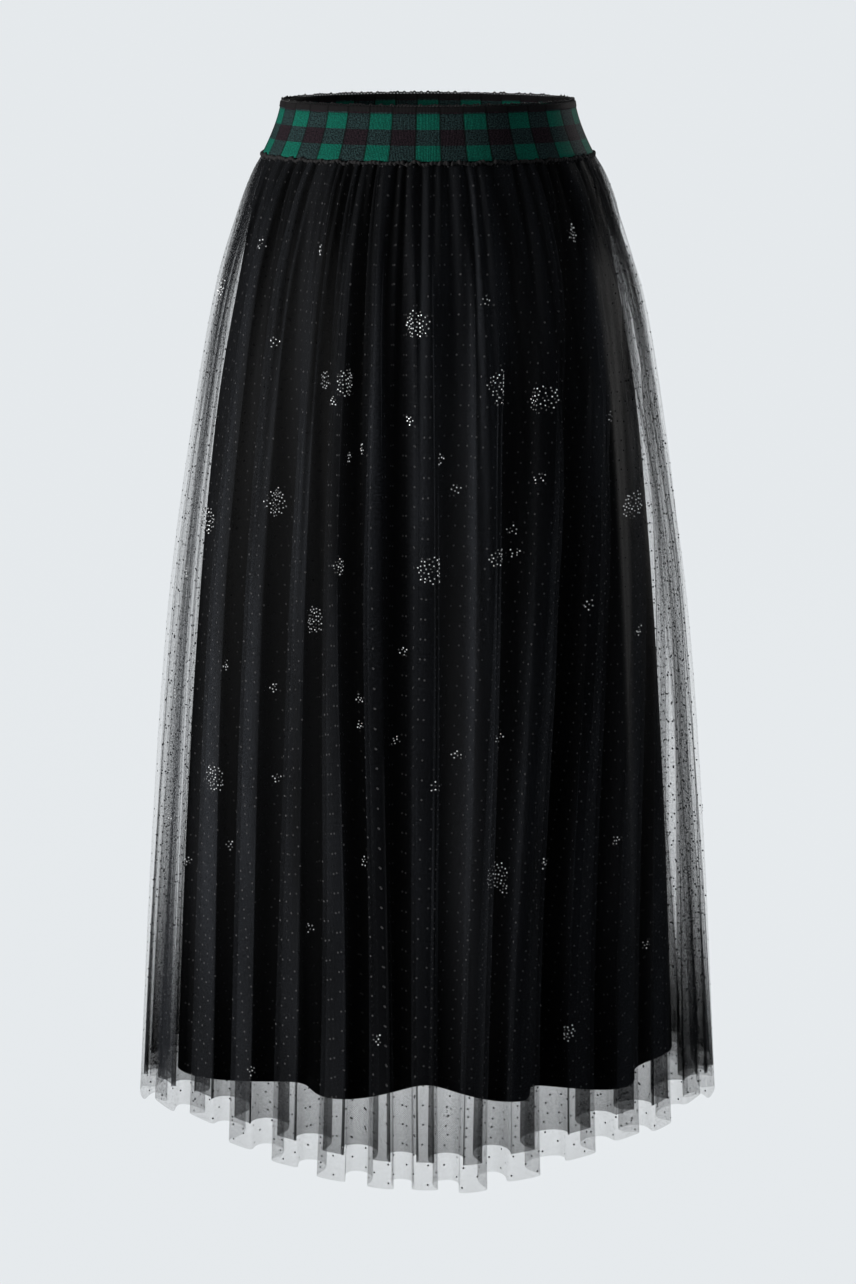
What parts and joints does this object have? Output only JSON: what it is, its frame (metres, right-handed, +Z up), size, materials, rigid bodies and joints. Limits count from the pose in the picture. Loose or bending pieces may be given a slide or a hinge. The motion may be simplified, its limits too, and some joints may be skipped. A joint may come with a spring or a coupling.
{
  "type": "tulle skirt",
  "caption": "Pull-on midi skirt of gathered sheer dotted tulle over an opaque lining, on a wide checked elastic waistband.",
  "frame": {"origin": "the middle of the waistband, half way up its height, where the wearer's waist holds the skirt", "axes": "+Z up from the hem to the waist, -Y out of the skirt's front, +X to the right of someone who looks at the front"},
  "size_m": [0.5205, 0.4811, 0.892],
  "materials": {
    "waistband": "woven elastic in a green and black check, mixed grey-green where the colours cross",
    "tulle": "sheer black net with a fine even mesh, small flocked dots and clusters of clear stones",
    "tulle_under": "sheer black net with a fine even mesh and small flocked dots",
    "lining": "smooth opaque black lining cloth with a slight sheen"
  },
  "bodies": {
    "root": {"waistband": "waistband", "tulle_front": "tulle", "tulle_back": "tulle", "tulle_under_front": "tulle_under", "tulle_under_back": "tulle_under", "lining_front": "lining", "lining_back": "lining"}
  },
  "joints": []
}
